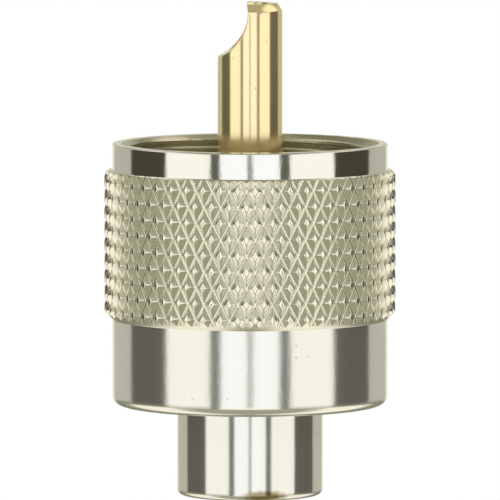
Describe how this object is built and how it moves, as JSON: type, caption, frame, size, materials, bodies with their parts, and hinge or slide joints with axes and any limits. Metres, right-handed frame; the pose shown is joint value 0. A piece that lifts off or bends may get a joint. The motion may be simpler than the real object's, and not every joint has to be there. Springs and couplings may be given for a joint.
{
  "type": "uhf connector",
  "caption": "UHF coaxial plug: a knurled coupling nut slides and spins on a turned body around an insulated hollow contact pin with a solder notch.",
  "frame": {"origin": "on the axis of the plug, at the flat rear end of its cable neck", "axes": "+Z along the axis, from the cable neck to the tip of the pin; -X through the solder notch in the tip; +Y away from the viewer of the picture"},
  "size_m": [0.018, 0.018, 0.0304],
  "materials": {
    "nut_plating": "satin",
    "body_plating": "satin",
    "ring_bronze": "satin",
    "insulator_plastic": "matte",
    "pin_gold": "polished"
  },
  "bodies": {
    "plug": {"body": "body_plating", "insulator": "insulator_plastic", "contact_pin": "pin_gold"},
    "ring": {"retaining_ring": "ring_bronze"},
    "nut": {"coupling_nut": "nut_plating"}
  },
  "joints": [
    {"name": "nut_slide", "type": "slide", "parent": "plug", "child": "ring", "axis": [0, 0, 1], "range_m": [0, 0.00225]},
    {"name": "nut_spin", "type": "hinge", "parent": "ring", "child": "nut", "pos_m": [0, 0, 0.01115], "axis": [0, 0, 1], "continuous": true}
  ]
}
